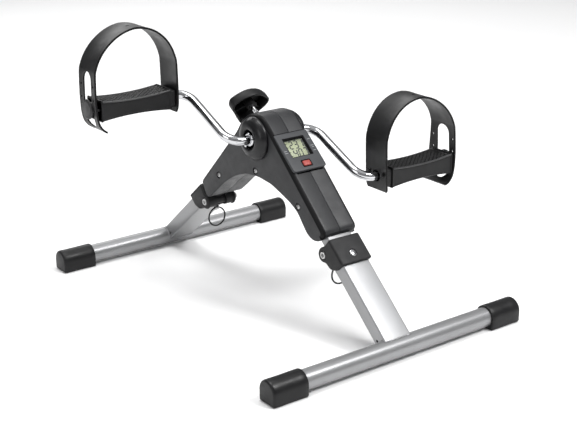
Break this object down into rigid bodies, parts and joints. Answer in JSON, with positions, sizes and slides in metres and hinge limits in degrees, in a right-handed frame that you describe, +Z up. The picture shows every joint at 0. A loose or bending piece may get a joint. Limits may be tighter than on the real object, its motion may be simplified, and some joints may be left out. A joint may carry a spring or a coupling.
{
  "type": "pedal exerciser",
  "caption": "Folding pedal exerciser: an arched housing with a display and tension knob, bent cranks with strapped pedals, and hinged legs on round base tubes.",
  "frame": {"origin": "centre of the footprint, on the floor", "axes": "+Z up; +Y from the display side towards the rear leg; +X across the machine, to the right of a user who faces the display"},
  "size_m": [0.424, 0.5316, 0.3684],
  "materials": {
    "shell_plastic": "fine textured moulding",
    "gloss_black": "glossy moulding",
    "acetal_bush": "plain moulded bush",
    "zinc_steel": "zinc plated",
    "bezel_plastic": "satin moulding",
    "clear_window": "clear window",
    "lcd_face": "grey-green display face",
    "red_plastic": "satin moulding",
    "board_green": "solder mask",
    "cell_steel": "bright",
    "sensor_body": "moulded sleeve",
    "drum_steel": "turned",
    "magnet": "nickel plated",
    "crank_chrome": "polished chrome plate",
    "knob_plastic": "satin moulding",
    "rod_chrome": "bright plated",
    "shoe_plastic": "moulded",
    "felt": "pressed felt",
    "pedal_plastic": "satin moulding with a ribbed tread",
    "cap_plastic": "satin gloss moulding",
    "strap_rubber": "smooth flexible strap",
    "silver_tube": "silver powder coat",
    "foot_rubber": "moulded end cap",
    "bracket_plastic": "satin moulding",
    "ring_steel": "black wire"
  },
  "bodies": {
    "housing": {"housing_left": "shell_plastic", "housing_right": "shell_plastic", "hub_cover_left": "gloss_black", "hub_cover_right": "gloss_black", "bearing_left": "acetal_bush", "bearing_right": "acetal_bush", "housing_screw_1": "zinc_steel", "housing_screw_2": "zinc_steel", "housing_screw_3": "zinc_steel", "display_bezel": "bezel_plastic", "lcd_window": "clear_window", "lcd_panel": "lcd_face", "display_board": "board_green", "button_cell": "cell_steel", "reed_sensor": "sensor_body", "front_upper_tube": "silver_tube", "rear_upper_tube": "silver_tube", "front_hinge_lug": "zinc_steel", "rear_hinge_lug": "zinc_steel"},
    "button": {"reset_button": "red_plastic"},
    "crank": {"axle_drum": "drum_steel", "drum_magnet": "magnet", "crank_left": "crank_chrome", "crank_right": "crank_chrome", "crank_collar_left": "crank_chrome", "crank_collar_right": "crank_chrome"},
    "knob": {"tension_knob": "knob_plastic", "tension_rod": "rod_chrome"},
    "shoe": {"brake_shoe": "shoe_plastic", "brake_pad": "felt"},
    "left_pedal": {"pedal_body_left": "pedal_plastic", "pedal_cap_left": "cap_plastic", "pedal_strap_left": "strap_rubber"},
    "right_pedal": {"pedal_body_right": "pedal_plastic", "pedal_cap_right": "cap_plastic", "pedal_strap_right": "strap_rubber"},
    "front_leg": {"front_leg_tube": "silver_tube", "front_base_tube": "silver_tube", "front_base_cap_left": "foot_rubber", "front_base_cap_right": "foot_rubber", "front_bracket": "bracket_plastic", "front_hinge_bolt": "zinc_steel", "front_hinge_nut": "zinc_steel", "front_bracket_rivet": "rod_chrome"},
    "rear_leg": {"rear_leg_tube": "silver_tube", "rear_base_tube": "silver_tube", "rear_base_cap_left": "foot_rubber", "rear_base_cap_right": "foot_rubber", "rear_bracket": "bracket_plastic", "rear_hinge_bolt": "zinc_steel", "rear_hinge_nut": "zinc_steel", "rear_bracket_rivet": "rod_chrome"},
    "front_lock": {"front_lock_pin": "zinc_steel"},
    "rear_lock": {"rear_lock_pin": "zinc_steel"},
    "front_ring": {"front_pull_ring": "ring_steel"},
    "rear_ring": {"rear_pull_ring": "ring_steel"}
  },
  "joints": [
    {"name": "crank_spin", "type": "hinge", "parent": "housing", "child": "crank", "pos_m": [0, 0.0005, 0.222], "axis": [1, 0, 0], "continuous": true},
    {"name": "left_pedal_spin", "type": "hinge", "parent": "crank", "child": "left_pedal", "pos_m": [0, 0.10201, 0.26933], "axis": [1, 0, 0], "continuous": true},
    {"name": "right_pedal_spin", "type": "hinge", "parent": "crank", "child": "right_pedal", "pos_m": [0, -0.10101, 0.17467], "axis": [1, 0, 0], "continuous": true},
    {"name": "tension_turn", "type": "hinge", "parent": "housing", "child": "knob", "pos_m": [0, 0.0005, 0.222], "axis": [0, 0.848, 0.5299], "range_deg": [-360, 360]},
    {"name": "brake_shoe_travel", "type": "slide", "parent": "housing", "child": "shoe", "axis": [0, 0.848, 0.5299], "range_m": [-0.00125, 0.00125]},
    {"name": "reset_press", "type": "slide", "parent": "housing", "child": "button", "axis": [0, 0.6436, -0.7654], "range_m": [0, 0.001], "stiffness_N_per_m": 500, "springref_m": -0.001},
    {"name": "front_leg_fold", "type": "hinge", "parent": "housing", "child": "front_leg", "pos_m": [0, -0.13524, 0.10231], "axis": [1, 0, 0], "range_deg": [0, 100]},
    {"name": "rear_leg_fold", "type": "hinge", "parent": "housing", "child": "rear_leg", "pos_m": [0, 0.13284, 0.09906], "axis": [-1, 0, 0], "range_deg": [0, 100]},
    {"name": "front_lock_pull", "type": "slide", "parent": "front_leg", "child": "front_lock", "axis": [0, 0.6639, -0.7478], "range_m": [0, 0.006], "stiffness_N_per_m": 700, "springref_m": -0.006},
    {"name": "rear_lock_pull", "type": "slide", "parent": "rear_leg", "child": "rear_lock", "axis": [0, -0.6428, -0.766], "range_m": [0, 0.006], "stiffness_N_per_m": 700, "springref_m": -0.006},
    {"name": "front_ring_swing", "type": "hinge", "parent": "front_lock", "child": "front_ring", "pos_m": [0, -0.14056, 0.08796], "axis": [1, 0, 0], "range_deg": [-25, 40]},
    {"name": "rear_ring_swing", "type": "hinge", "parent": "rear_lock", "child": "rear_ring", "pos_m": [0, 0.13855, 0.08486], "axis": [-1, 0, 0], "range_deg": [-25, 40]}
  ],
  "couplings": [
    {"joint": "tension_turn", "follows": "brake_shoe_travel", "rad_per_m": 5000}
  ]
}
